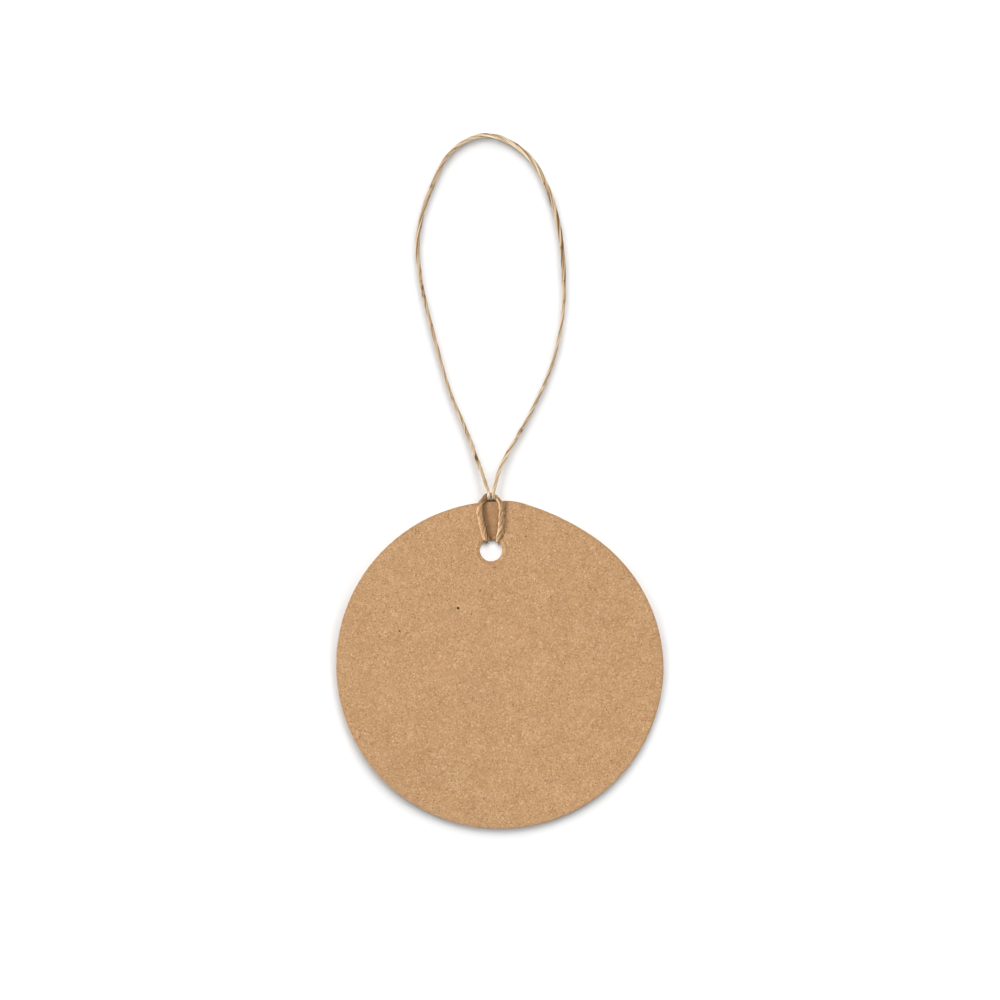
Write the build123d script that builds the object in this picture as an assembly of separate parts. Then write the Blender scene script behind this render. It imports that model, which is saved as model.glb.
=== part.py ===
from build123d import *
import math
import os

os.makedirs("parts", exist_ok=True)

# ------------------------------------------------------------------ driving dimensions, mm
CARD_DIA = 60.0        # die-cut round card
CARD_T = 0.5           # board thickness
HOLE_DIA = 4.1         # punched hole
HOLE_OFFSET = 21.16    # card centre to hole centre
BAND_DEPTH = 0.05      # how far the pulled twine presses the strip between hole and rim
TWINE_D = 0.85         # two-ply twine, nominal
GAP = 0.005            # lay-on gap between twine and what it lies against
PULL_DEG = 4.42        # the loop's pull direction against the line card centre to hole
KNOT_LEN, KNOT_W, KNOT_T = 2.5, 2.0, 1.5    # closing knot, drawn tight and flat

# joints of the loop, measured along the pull from the hole's centre
SWING_AT = 11.15       # sideways swing, just beyond the hitch
FOLD_AT = 12.90        # fold, up over the face or down behind the card
STRAND_END = 10.85     # the hitch's own strands end here
THROAT_FROM, THROAT_TO = 11.45, 12.65
LOOP_FROM = 13.70

R_CARD = CARD_DIA / 2
R_T = TWINE_D / 2
Z_LEG = CARD_T - BAND_DEPTH + R_T + GAP     # legs lie on the pressed strip of the face
Z_STR = -(R_T + GAP)                        # strands lie on the back
Z_BIGHT = Z_STR - TWINE_D - 2 * GAP         # the bight crosses under the strands

# the card leans on its lower rim and on the bight
BIGHT_Y = 30.60
LEAN = math.atan2(-(Z_BIGHT - R_T), BIGHT_Y + R_CARD)
CP, SP = math.cos(math.radians(PULL_DEG)), math.sin(math.radians(PULL_DEG))
CL, SL = math.cos(LEAN), math.sin(LEAN)


def card_to_part(x, y, z):
    return (x, y * CL - z * SL, (y + R_CARD) * SL + z * CL)


def pull_to_card(x, y):
    """From the hole's centre, y along the pull, to the card's own axes."""
    return (x * CP + y * SP, HOLE_OFFSET - x * SP + y * CP)


def held(x, y, z):
    return card_to_part(*pull_to_card(x, y), z)


def free(x, y, z):
    return (*pull_to_card(x, y), z)


# ------------------------------------------------------------------ the twine's route
# held lengths: x, y from the hole's centre with y along the pull, z from the card's back
KNOT_IN = [(-3.75, 6.30, Z_STR), (-2.25, 6.30, Z_STR), (-0.62, 7.95, Z_STR), (-0.50, 10.70, Z_STR)]
# free loop: x, y as above, z above the table
LOOP = [
    (-2.05, 15.36, 1.02), (-4.46, 21.86, 0.62), (-7.65, 28.80, 0.44), (-9.76, 36.32, 0.43),
    (-11.69, 43.68, 0.43), (-13.33, 51.26, 0.43), (-13.51, 58.97, 0.43), (-11.00, 66.32, 0.43),
    (-7.41, 73.47, 0.43), (-0.33, 76.59, 0.43), (7.05, 72.58, 0.43), (10.71, 65.86, 0.43),
    (12.67, 58.34, 0.43), (13.43, 50.66, 0.43), (13.23, 42.91, 0.43), (11.77, 35.35, 0.43),
    (8.92, 28.20, 0.44), (5.24, 21.40, 0.62), (1.68, 15.43, 1.02),
]
RIGHT_STRAND = [(0.40, 10.70, Z_STR), (0.46, 8.10, Z_STR), (0.78, 5.40, Z_STR), (1.12, 3.00, Z_STR)]
RIGHT_HOLE = [(1.22, 1.06, Z_STR), (1.22, 1.06, Z_LEG)]
RIGHT_LEG = [(1.72, 3.30, Z_LEG), (1.92, 5.70, Z_LEG), (1.88, 8.15, Z_LEG)]
RIGHT_RIM = [(1.70, 9.50, Z_LEG), (1.28, 9.60, Z_BIGHT)]
BIGHT = [(-0.05, 10.10, Z_BIGHT)]
LEFT_RIM = [(-1.35, 9.45, Z_BIGHT), (-1.75, 9.30, Z_LEG)]
LEFT_LEG = [(-2.02, 7.97, Z_LEG), (-1.82, 5.70, Z_LEG), (-1.42, 3.40, Z_LEG)]
LEFT_HOLE = [(-0.90, 1.25, Z_LEG), (-0.90, 1.25, Z_STR)]
LEFT_TUCK = [(-1.08, 3.10, Z_STR), (-2.25, 5.40, Z_STR), (-3.75, 5.40, Z_STR)]
TAIL_1 = [(-6.25, 6.30, Z_STR), (-7.75, 6.30, Z_STR), (-9.40, 5.20, Z_STR)]
TAIL_2 = [(-6.25, 5.40, Z_STR), (-7.30, 5.40, Z_STR), (-8.60, 3.90, Z_STR)]

HITCH = (RIGHT_STRAND + RIGHT_HOLE + RIGHT_LEG + RIGHT_RIM + BIGHT + LEFT_RIM + LEFT_LEG
         + LEFT_HOLE + LEFT_TUCK)
ROUTE = ([Vector(*held(*p)) for p in KNOT_IN] + [Vector(*free(*p)) for p in LOOP]
         + [Vector(*held(*p)) for p in HITCH])


def mid(i):
    return (ROUTE[i] + ROUTE[i + 1]) * 0.5


def corner_radius(a, b, c):
    """Tangent arc that takes 45 % of the shorter neighbouring run."""
    u, v = b - a, c - b
    half = math.radians(u.get_angle(v)) / 2
    return 0.45 * min(u.length, v.length) / math.tan(half)


def tube(points, radii):
    path = FilletPolyline(*points, radius=radii)
    section = Plane(origin=path @ 0, z_dir=path % 0) * Circle(R_T)
    body = sweep(section, path=path)
    return body, path.length


def run(first, last, start=None, end=None):
    """The twine from start (or corner first) to end (or corner last)."""
    inner = list(range(first + (0 if start is not None else 1), last + (1 if end is not None else 0)))
    points = [start if start is not None else ROUTE[first]] + [ROUTE[i] for i in inner]
    points.append(end if end is not None else ROUTE[last])
    radii = [corner_radius(ROUTE[i - 1], ROUTE[i], ROUTE[i + 1]) for i in inner]
    print("   corners", first, "to", last, "radii mm", [round(r, 2) for r in radii])
    return tube(points, radii)


def slab(y0, y1):
    """Everything between two planes across the pull."""
    box = Box(80, y1 - y0, 40)
    return Pos(*pull_to_card(0, (y0 + y1) / 2), 0) * Rot(0, 0, -PULL_DEG) * box


def report(name, shape, length=None):
    v = sum(s.volume for s in shape.solids())
    text = f"{name}: {len(shape.solids())} solid(s), {v:.3f} mm3"
    if length:
        text += f", section x length {math.pi * R_T ** 2 * length:.3f} mm3, length {length:.2f} mm"
    print(text)


# ------------------------------------------------------------------ card
card = extrude(Circle(R_CARD) - Pos(0, HOLE_OFFSET) * Circle(HOLE_DIA / 2), CARD_T)
band = Polyline(*[(*pull_to_card(x, y), CARD_T - BAND_DEPTH) for x, y in (
    (-1.50, 1.00), (-2.65, 5.00), (-2.75, 7.50), (-2.65, 10.50),
    (2.60, 10.50), (2.60, 5.00), (1.75, 1.00))], close=True)
card = card - extrude(make_face(band), BAND_DEPTH * 2, dir=(0, 0, 1))
card = Pos(0, 0, R_CARD * SL) * Rot(math.degrees(LEAN), 0, 0) * card

# ------------------------------------------------------------------ twine
n_in = len(KNOT_IN) + len(LOOP)
i_rh = n_in + len(RIGHT_STRAND)                       # right hole, back corner
i_rr = i_rh + len(RIGHT_HOLE) + len(RIGHT_LEG)        # right rim, upper corner
i_lr = i_rr + len(RIGHT_RIM) + len(BIGHT)             # left rim, lower corner
i_lh = i_lr + len(LEFT_RIM) + len(LEFT_LEG)           # left hole, upper corner
i_end = len(ROUTE) - 1

main, main_len = run(0, i_rh, end=mid(i_rh))
report("whole loop with its strands", main, main_len)
loop = main & slab(LOOP_FROM, 120)
throat = main & slab(THROAT_FROM, THROAT_TO)
strands = (main & slab(-20, STRAND_END)).solids()
strands = sorted(strands, key=lambda s: s.center().X)
left_strand, right_strand = strands[0], strands[-1]

right_leg, rl_len = run(i_rh + 1, i_rr, start=mid(i_rh), end=mid(i_rr))
bight, b_len = run(i_rr + 1, i_lr, start=mid(i_rr), end=mid(i_lr))
left_leg, ll_len = run(i_lr + 1, i_lh, start=mid(i_lr), end=mid(i_lh))
left_tuck, lt_len = run(i_lh + 1, i_end, start=mid(i_lh))


def tail(points):
    p = [Vector(*held(*q)) for q in points]
    return tube(p, [corner_radius(*p)])


tail_1, t1_len = tail(TAIL_1)
tail_2, t2_len = tail(TAIL_2)
tails = Compound(children=[tail_1.solids()[0], tail_2.solids()[0]])

# ------------------------------------------------------------------ closing knot
knot = Box(KNOT_LEN, KNOT_W, KNOT_T)
knot = fillet(knot.edges().filter_by(Axis.X), 0.35)
kx, ky = pull_to_card(-5.0, 5.85)
knot = Pos(kx, ky, -0.01 - KNOT_T / 2) * Rot(0, 0, -PULL_DEG) * knot
knot = Pos(0, 0, R_CARD * SL) * Rot(math.degrees(LEAN), 0, 0) * knot

NODES = {
    "tag_card": card,
    "twine_left_leg": left_leg,
    "twine_right_leg": right_leg,
    "twine_bight": bight,
    "twine_left_strand": left_strand,
    "twine_right_strand": right_strand,
    "twine_left_tuck": left_tuck,
    "closing_knot": knot,
    "twine_tails": tails,
    "loop_throat": Compound(children=list(throat.solids())),
    "hanging_loop": loop,
}

lengths = {"twine_left_leg": ll_len, "twine_right_leg": rl_len, "twine_bight": b_len,
           "twine_left_tuck": lt_len, "twine_tails": t1_len + t2_len}
for name, shape in NODES.items():
    report(name, shape, lengths.get(name))
    bb = shape.bounding_box()
    print("   box", [round(v, 3) for v in (*bb.min, *bb.max)])
    export_step(shape, f"parts/{name}.step")

print("lean deg", round(math.degrees(LEAN), 4))
for label, at in (("swing", SWING_AT), ("fold", FOLD_AT)):
    cut = main & slab(at - 0.02, at + 0.02)
    print(label, "axis point", [tuple(round(v, 4) for v in s.center()) for s in cut.solids()])
print("fold axis", (round(CP, 5), round(-SP, 5), 0.0))
print("face centre", [round(v, 4) for v in card_to_part(0, 0, CARD_T)], "normal", (0.0, round(-SL, 6), round(CL, 6)))
print("twine length without the knot", round(main_len + rl_len + b_len + ll_len + lt_len + t1_len + t2_len, 1))
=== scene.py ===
import math

import bpy
import numpy as np
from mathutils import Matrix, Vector
from mathutils.geometry import delaunay_2d_cdt


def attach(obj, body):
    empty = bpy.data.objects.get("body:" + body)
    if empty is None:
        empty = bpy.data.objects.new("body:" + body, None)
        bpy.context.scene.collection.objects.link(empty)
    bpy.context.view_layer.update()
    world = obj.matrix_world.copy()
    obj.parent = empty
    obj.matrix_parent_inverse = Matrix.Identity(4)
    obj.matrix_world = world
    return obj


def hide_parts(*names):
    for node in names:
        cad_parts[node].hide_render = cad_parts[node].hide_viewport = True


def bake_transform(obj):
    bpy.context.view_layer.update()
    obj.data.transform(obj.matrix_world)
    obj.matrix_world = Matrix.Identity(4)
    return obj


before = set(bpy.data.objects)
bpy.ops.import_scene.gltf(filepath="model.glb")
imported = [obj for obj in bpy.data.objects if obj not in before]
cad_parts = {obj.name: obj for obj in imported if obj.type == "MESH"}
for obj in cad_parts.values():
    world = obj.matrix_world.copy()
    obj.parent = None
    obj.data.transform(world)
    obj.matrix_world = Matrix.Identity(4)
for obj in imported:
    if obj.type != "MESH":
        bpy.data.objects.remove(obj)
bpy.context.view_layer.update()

MM = 0.001

# ------------------------------------------------------------------ the part's own dimensions, mm
CARD_DIA = 60.0
CARD_T = 0.5
HOLE_DIA = 4.1
HOLE_OFFSET = 21.16
BAND_DEPTH = 0.05
TWINE_D = 0.85
GAP = 0.005
PULL_DEG = 4.42
R_CARD = CARD_DIA / 2
R_HOLE = HOLE_DIA / 2
R_T = TWINE_D / 2
Z_LEG = CARD_T - BAND_DEPTH + R_T + GAP
Z_STR = -(R_T + GAP)
Z_BIGHT = Z_STR - TWINE_D - 2 * GAP
BIGHT_Y = 30.60
LEAN = math.atan2(-(Z_BIGHT - R_T), BIGHT_Y + R_CARD)
CP, SP = math.cos(math.radians(PULL_DEG)), math.sin(math.radians(PULL_DEG))
CL, SL = math.cos(LEAN), math.sin(LEAN)


def pull_to_card(x, y):
    """From the hole's centre, y along the loop's pull, to the card's own axes."""
    return x * CP + y * SP, HOLE_OFFSET - x * SP + y * CP


def card_to_pull(x, y):
    y = y - HOLE_OFFSET
    return x * CP - y * SP, x * SP + y * CP


def card_to_part(x, y, z):
    return x, y * CL - z * SL, (y + R_CARD) * SL + z * CL


def held(x, y, z):
    return card_to_part(*pull_to_card(x, y), z)


def free(x, y, z):
    return (*pull_to_card(x, y), z)


# ------------------------------------------------------------------ small helpers
def line_noise(n, length, rng):
    """Smooth random line of unit spread; length in samples."""
    pad = int(4 * length) + 4
    white = rng.standard_normal(n + 2 * pad)
    f = np.fft.fftfreq(len(white))
    out = np.fft.ifft(np.fft.fft(white) * np.exp(-2 * (np.pi * f * length) ** 2)).real[pad:pad + n]
    return out / max(out.std(), 1e-9)


def sheet_noise(nu, nv, lu, lv, rng):
    """Smooth random sheet of unit spread, periodic both ways; lengths in samples."""
    white = rng.standard_normal((nu, nv))
    fu, fv = np.fft.fftfreq(nu)[:, None], np.fft.fftfreq(nv)[None, :]
    filt = np.exp(-2 * (np.pi * fu * lu) ** 2 - 2 * (np.pi * fv * lv) ** 2)
    out = np.fft.ifft2(np.fft.fft2(white) * filt).real
    return out / out.std()


def step(e0, e1, x):
    t = np.clip((x - e0) / (e1 - e0), 0, 1)
    return t * t * (3 - 2 * t)


def unit(v):
    return v / np.maximum(np.linalg.norm(v, axis=-1, keepdims=True), 1e-12)


def mesh_object(name, verts_mm, faces, material, floats=None, vectors=None):
    me = bpy.data.meshes.new(name)
    me.from_pydata((np.asarray(verts_mm) * MM).tolist(), [], faces)
    for key, values in (floats or {}).items():
        me.attributes.new(key, "FLOAT", "POINT").data.foreach_set("value", np.asarray(values, np.float32))
    for key, values in (vectors or {}).items():
        me.attributes.new(key, "FLOAT_VECTOR", "POINT").data.foreach_set(
            "vector", np.asarray(values, np.float32).ravel())
    me.polygons.foreach_set("use_smooth", [len(f) <= 4 for f in faces])
    me.materials.append(material)
    me.update()
    o = bpy.data.objects.new(name, me)
    bpy.context.scene.collection.objects.link(o)
    return o


# ------------------------------------------------------------------ material helpers
class Nodes:
    def __init__(self, name):
        self.mat = bpy.data.materials.new(name)
        self.mat.use_nodes = True
        self.t = self.mat.node_tree
        self.t.nodes.clear()
        self.out = self.t.nodes.new("ShaderNodeOutputMaterial")
        self.bsdf = self.t.nodes.new("ShaderNodeBsdfPrincipled")
        self.link(self.bsdf.outputs["BSDF"], self.out.inputs["Surface"])

    def link(self, a, b):
        self.t.links.new(a, b)

    def put(self, value, socket):
        if isinstance(value, bpy.types.NodeSocket):
            self.link(value, socket)
        else:
            socket.default_value = value

    def attr(self, name, kind="Fac"):
        n = self.t.nodes.new("ShaderNodeAttribute")
        n.attribute_name = name
        return n.outputs[kind]

    def coords(self):
        return self.t.nodes.new("ShaderNodeTexCoord").outputs["Object"]

    def mapped(self, vector, scale, rotation=(0, 0, 0), location=(0, 0, 0), kind="POINT"):
        n = self.t.nodes.new("ShaderNodeMapping")
        n.vector_type = kind
        self.link(vector, n.inputs["Vector"])
        n.inputs["Scale"].default_value = scale
        n.inputs["Rotation"].default_value = rotation
        n.inputs["Location"].default_value = location
        return n.outputs["Vector"]

    def noise(self, vector, scale=1.0, detail=2.0, rough=0.5, distortion=0.0):
        n = self.t.nodes.new("ShaderNodeTexNoise")
        self.link(vector, n.inputs["Vector"])
        n.inputs["Scale"].default_value = scale
        n.inputs["Detail"].default_value = detail
        n.inputs["Roughness"].default_value = rough
        n.inputs["Distortion"].default_value = distortion
        return n.outputs["Fac"]

    def voronoi(self, vector, scale=1.0):
        n = self.t.nodes.new("ShaderNodeTexVoronoi")
        n.feature = "F1"
        n.voronoi_dimensions = "2D"
        self.link(vector, n.inputs["Vector"])
        n.inputs["Scale"].default_value = scale
        n.inputs["Randomness"].default_value = 1.0
        return n.outputs["Distance"], n.outputs["Color"]

    def drift(self, vector, scale, amount):
        """The same coordinates, carried a little to and fro."""
        n = self.t.nodes.new("ShaderNodeTexNoise")
        self.link(vector, n.inputs["Vector"])
        n.inputs["Scale"].default_value = scale
        n.inputs["Detail"].default_value = 1.0
        v = self.t.nodes.new("ShaderNodeVectorMath")
        v.operation = "MULTIPLY_ADD"
        self.link(n.outputs["Color"], v.inputs[0])
        v.inputs[1].default_value = (amount, amount, 0)
        self.link(vector, v.inputs[2])
        return v.outputs["Vector"]

    def span(self, value, a, b, c=0.0, d=1.0, smooth=True):
        n = self.t.nodes.new("ShaderNodeMapRange")
        n.interpolation_type = "SMOOTHSTEP" if smooth else "LINEAR"
        self.put(value, n.inputs["Value"])
        for key, v in (("From Min", a), ("From Max", b), ("To Min", c), ("To Max", d)):
            n.inputs[key].default_value = v
        return n.outputs["Result"]

    def math(self, op, a, b=None):
        n = self.t.nodes.new("ShaderNodeMath")
        n.operation = op
        self.put(a, n.inputs[0])
        if b is not None:
            self.put(b, n.inputs[1])
        return n.outputs[0]

    def length(self, vector):
        n = self.t.nodes.new("ShaderNodeVectorMath")
        n.operation = "LENGTH"
        self.link(vector, n.inputs[0])
        return n.outputs["Value"]

    def ramp(self, value, stops):
        n = self.t.nodes.new("ShaderNodeValToRGB")
        self.link(value, n.inputs["Fac"])
        e = n.color_ramp.elements
        while len(e) < len(stops):
            e.new(0.5)
        for k, (pos, col) in zip(e, stops):
            k.position = pos
            k.color = (*col, 1)
        return n.outputs["Color"]

    def mix(self, fac, a, b, mode="MIX"):
        n = self.t.nodes.new("ShaderNodeMix")
        n.data_type = "RGBA"
        n.blend_type = mode
        self.put(fac, n.inputs[0])
        self.put(a if isinstance(a, bpy.types.NodeSocket) else (*a, 1), n.inputs[6])
        self.put(b if isinstance(b, bpy.types.NodeSocket) else (*b, 1), n.inputs[7])
        return n.outputs[2]

    def split(self, vector):
        n = self.t.nodes.new("ShaderNodeSeparateXYZ")
        self.link(vector, n.inputs[0])
        return n.outputs

    def bump(self, height, strength, distance, normal=None):
        n = self.t.nodes.new("ShaderNodeBump")
        n.inputs["Strength"].default_value = strength
        n.inputs["Distance"].default_value = distance
        self.link(height, n.inputs["Height"])
        if normal is not None:
            self.link(normal, n.inputs["Normal"])
        return n.outputs["Normal"]


# ------------------------------------------------------------------ kraft board
def kraft_material():
    m = Nodes("kraft_board")
    p = m.mapped(m.coords(), (1000, 1000, 1000))          # millimetres
    grain = m.noise(p, 4.6, 2.0, 0.6)
    patch = m.noise(p, 1.0, 2.0, 0.5)
    cloud = m.noise(p, 0.22, 3.0, 0.55)
    hue = m.noise(m.mapped(p, (1, 1, 1), location=(40, 13, 5)), 0.40, 1.0, 0.5)

    bent = m.drift(p, 1.3, 0.5)

    def fibres(angle, long, wide, share, at):
        """Single fibres lying roughly one way; share is how many of the places hold one."""
        q = m.mapped(bent, (long, wide, 1), (0, 0, math.radians(angle)), at, "TEXTURE")
        d, c = m.voronoi(q, 1.0)
        rgb = m.split(c)
        strong = m.math("POWER", m.span(rgb[0], 1 - share, 1.0, 0.0, 1.0, False), 2.3)
        return m.math("MULTIPLY", m.span(d, 0.36, 0.10), strong)

    light = dark = None
    for angle, at in ((8, (3.3, 1.7, 0)), (52, (11.1, 5.9, 0)), (97, (5.2, 17.4, 0)), (141, (27.8, 9.6, 0))):
        f = fibres(angle, 0.70, 0.23, 0.52, at)
        light = f if light is None else m.math("MAXIMUM", light, f)
    for angle, at in ((31, (21.4, 3.8, 0)), (76, (8.5, 31.3, 0)), (119, (2.9, 12.6, 0)), (163, (14.7, 6.2, 0))):
        f = fibres(angle, 0.58, 0.23, 0.52, at)
        dark = f if dark is None else m.math("MAXIMUM", dark, f)

    calm = m.noise(m.mapped(p, (1, 1, 1), location=(7, 61, 2)), 0.55, 2.0, 0.5)
    light = m.math("MULTIPLY", light, m.span(calm, 0.36, 0.62, 0.62, 1.0))
    dark = m.math("MULTIPLY", dark, m.span(calm, 0.36, 0.62, 0.66, 1.0))
    tone = m.math("ADD", m.span(grain, 0.2, 0.8, -0.27, 0.27, False), m.span(patch, 0.2, 0.8, -0.23, 0.23, False))
    tone = m.math("ADD", tone, m.span(cloud, 0.2, 0.8, -0.18, 0.18, False))
    tone = m.span(tone, -1.0, 1.0, 0.0, 1.0, False)
    colour = m.ramp(tone, ((0.0, (0.358, 0.188, 0.082)), (0.5, (0.576, 0.332, 0.1665)), (1.0, (0.82, 0.52, 0.295))))
    colour = m.mix(m.span(hue, 0.36, 0.64, 0.0, 0.5), colour, (0.965, 0.995, 0.90), "MULTIPLY")
    colour = m.mix(m.math("MULTIPLY", light, 0.97), colour, (0.88, 0.61, 0.375))
    colour = m.mix(m.math("MULTIPLY", dark, 0.96), colour, (0.215, 0.100, 0.040))

    # bark specks, a few of them strong, and some flecks that lie singly
    d, c = m.voronoi(p, 0.42)
    pick = m.span(m.split(c)[0], 0.60, 1.0, 0.0, 0.066, False)
    ragged = m.math("ADD", d, m.span(grain, 0.3, 0.7, -0.030, 0.030, False))
    speck = m.math("MULTIPLY", m.span(m.math("SUBTRACT", pick, ragged), 0.0, 0.02), m.span(m.split(c)[1], 0, 1, 0.3, 0.8))
    colour = m.mix(speck, colour, (0.16, 0.075, 0.032))
    for px, py, long, wide, turn, strong in ((-6.02, -10.58, 0.29, 0.25, 20, 0.97), (-16.72, -14.82, 0.22, 0.18, 70, 0.75),
                                             (0.65, -3.17, 0.26, 0.13, 15, 0.55), (6.33, 2.51, 0.20, 0.13, 120, 0.6),
                                             (-3.56, -11.66, 0.20, 0.15, 50, 0.6), (-19.6, -11.3, 0.24, 0.16, 60, 0.45),
                                             (-2.0, -7.4, 0.34, 0.20, 75, 0.4), (-13.9, -12.4, 0.22, 0.16, 30, 0.4)):
        at = card_to_part(*pull_to_card(px, py), CARD_T)
        q = m.mapped(p, (long, wide, 0.5), (0, 0, math.radians(turn)), at, "TEXTURE")
        one = m.math("ADD", m.length(q), m.span(grain, 0.3, 0.7, -0.25, 0.25, False))
        colour = m.mix(m.span(one, 1.15, 0.7, 0.0, strong), colour, (0.040, 0.018, 0.008))

    # the pulled strip is pressed and rubbed darker, partly painted shade; the card is painted shaded along both legs
    # and with a shadow to the right of the right leg; the cut edge is raw and layered
    colour = m.mix(m.math("MULTIPLY", m.attr("press_and_shade"), 0.55), colour, (0.31, 0.160, 0.070))
    layer = m.noise(m.mapped(p, (1.1, 1.1, 11.0)), 1.0, 3.0, 0.6)
    raw = m.ramp(layer, ((0.3, (0.24, 0.125, 0.055)), (0.5, (0.40, 0.235, 0.115)), (0.72, (0.56, 0.35, 0.185))))
    colour = m.mix(m.attr("edge"), colour, raw)
    m.link(colour, m.bsdf.inputs["Base Color"])

    m.link(m.span(grain, 0.3, 0.7, 0.96, 0.80, False), m.bsdf.inputs["Roughness"])
    m.bsdf.inputs["Specular IOR Level"].default_value = 0.2
    height = m.math("ADD", grain, m.math("MULTIPLY", light, 0.6))
    height = m.math("SUBTRACT", height, m.math("MULTIPLY", dark, 0.5))
    height = m.math("ADD", height, m.math("MULTIPLY", m.attr("edge"), layer))
    m.link(m.bump(height, 0.5, 0.00003), m.bsdf.inputs["Normal"])
    return m.mat


# ------------------------------------------------------------------ twine fibre
def twine_material():
    m = Nodes("twine")
    f = m.attr("fibre", "Vector")                          # along the fibre in mm, then round the strand
    streak = m.noise(m.mapped(f, (0.35, 9.0, 9.0)), 1.0, 3.0, 0.6)
    fine = m.noise(m.mapped(f, (0.9, 26.0, 26.0), location=(4, 2, 9)), 1.0, 2.0, 0.6)
    slow = m.noise(m.mapped(f, (0.22, 1.2, 1.2), location=(31, 7, 3)), 1.0, 2.0, 0.5)
    tone = m.math("ADD", m.math("MULTIPLY", streak, 0.42), m.math("MULTIPLY", fine, 0.22))
    tone = m.math("ADD", tone, m.math("MULTIPLY", slow, 0.36))
    tone = m.math("ADD", tone, m.math("MULTIPLY", m.attr("tone"), 0.085))
    loose = m.ramp(tone, ((0.24, (0.13, 0.068, 0.030)), (0.36, (0.37, 0.225, 0.105)), (0.49, (0.615, 0.455, 0.282)),
                          (0.61, (0.80, 0.642, 0.440)), (0.76, (0.94, 0.81, 0.62))))
    tight = m.ramp(tone, ((0.24, (0.110, 0.052, 0.021)), (0.38, (0.300, 0.160, 0.067)), (0.51, (0.52, 0.305, 0.143)),
                          (0.64, (0.76, 0.505, 0.270)), (0.80, (0.96, 0.715, 0.440))))
    # painted shade: darker on the strand sides that face the core, where the strands shade each other
    loose = m.mix(m.math("MULTIPLY", m.attr("groove"), 0.50), loose, (0.30, 0.175, 0.080))
    tight = m.mix(m.math("MULTIPLY", m.attr("groove"), 0.45), tight, (0.19, 0.098, 0.040))
    colour = m.mix(m.attr("tight"), loose, tight)          # browner where it is drawn down on the card
    # painted shade: the strands turn near-black in the shaded slot at the rim
    colour = m.mix(m.math("MULTIPLY", m.attr("pinch"), 0.92), colour, (0.030, 0.014, 0.006))
    m.link(colour, m.bsdf.inputs["Base Color"])
    m.link(m.span(streak, 0.3, 0.7, 0.74, 0.52, False), m.bsdf.inputs["Roughness"])
    m.bsdf.inputs["Specular IOR Level"].default_value = 0.3
    m.bsdf.inputs["Sheen Weight"].default_value = 0.06
    m.bsdf.inputs["Sheen Roughness"].default_value = 0.5
    height = m.math("ADD", m.math("MULTIPLY", streak, 0.8), m.math("MULTIPLY", fine, 0.5))
    m.link(m.bump(height, 0.5, 0.00003), m.bsdf.inputs["Normal"])
    return m.mat


KRAFT = kraft_material()
TWINE = twine_material()

# ------------------------------------------------------------------ the twine's route
# x, y from the hole's centre with y along the pull; z from the card's back where the card holds it,
# above the table in the loop; then the section's width and thickness there against the twine's own
KX, KY, KZ = -5.0, 5.86, -0.74
TURNS = 3
wrap = []
for i in range(TURNS * 12 + 1):
    a = math.radians(140 + 30 * i)
    x = KX + 0.92 - 1.84 * i / (TURNS * 12)
    wrap.append(("h", x, KY + 0.66 * math.cos(a), KZ + 0.44 * math.sin(a), 0.74, 0.68))

TAIL_1 = [("h", -9.40, 5.20, Z_STR - 0.1, 1.1, 1.0), ("h", -7.75, 6.30, Z_STR, 1.1, 1.0), ("h", -6.25, 6.28, -0.52, 0.95, 0.9)]
CORE = [("h", -5.60, 6.00, -0.70, 0.75, 0.72), ("h", -4.40, 5.90, -0.70, 0.75, 0.72)]
KNOT_IN = [("h", -3.75, 6.24, -0.52, 0.95, 0.9), ("h", -2.25, 6.30, -0.40, 1.05, 0.95),
           ("h", -0.72, 7.95, -0.40, 2.35, 0.90), ("h", -0.38, 9.75, -0.41, 0.72, 0.92),
           ("h", -0.45, 10.70, -0.42, 0.74, 0.95)]
LOOP = [("f", x, y, z, w, 0.90) for x, y, z, w in (
    (-2.14, 15.36, 0.66, 0.78), (-4.46, 21.88, 0.48, 0.76), (-7.60, 28.82, 0.46, 0.67), (-9.69, 36.32, 0.46, 0.76),
    (-11.66, 43.68, 0.46, 0.85), (-13.34, 51.26, 0.46, 0.91), (-13.54, 58.99, 0.46, 0.97), (-11.06, 66.38, 0.46, 0.93),
    (-7.50, 73.75, 0.46, 0.94), (-0.33, 76.95, 0.46, 1.02), (7.14, 72.75, 0.46, 1.12), (10.78, 65.90, 0.46, 1.06),
    (12.74, 58.35, 0.46, 0.97), (13.50, 50.66, 0.46, 0.89), (13.28, 42.90, 0.46, 0.82), (11.79, 35.34, 0.46, 0.79),
    (8.92, 28.20, 0.46, 0.75), (5.25, 21.40, 0.48, 0.81), (1.66, 15.43, 0.66, 0.99))]
# the loop's twine is paler at its top and near the hitch, browner at its sides
LOOP_TONE = [0.1, 0.3, -0.4, -0.6, -0.3, -0.2, -0.7, -0.3, 0.4, 0.7, 0.7, -0.1, -0.4, -1.2, -0.2, -0.1, 0.0, 0.8, 0.9]
RIGHT_STRAND = [("h", 0.45, 10.70, -0.42, 0.87, 0.95), ("h", 0.41, 9.75, -0.41, 0.78, 0.92), ("h", 0.58, 8.05, -0.40, 2.20, 0.90),
                ("h", 0.78, 5.40, -0.40, 1.05, 0.95), ("h", 1.12, 3.00, -0.40, 1.1, 0.9)]
RIGHT_HOLE = [("h", 1.34, 1.74, -0.40, 1.35, 0.60), ("h", 1.42, 1.74, 0.70, 1.85, 0.60)]
RIGHT_LEG = [("h", 1.82, 3.30, 0.71, 1.90, 0.75), ("h", 1.93, 5.70, 0.71, 1.58, 0.75), ("h", 1.95, 8.40, 0.71, 1.52, 0.75)]
RIGHT_RIM = [("h", 1.55, 8.94, 0.60, 1.10, 0.70), ("h", 0.97, 9.74, Z_BIGHT + 0.15, 1.05, 0.80)]
BIGHT = [("h", 0.00, 10.10, Z_BIGHT + 0.05, 1.30, 0.90)]
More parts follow.
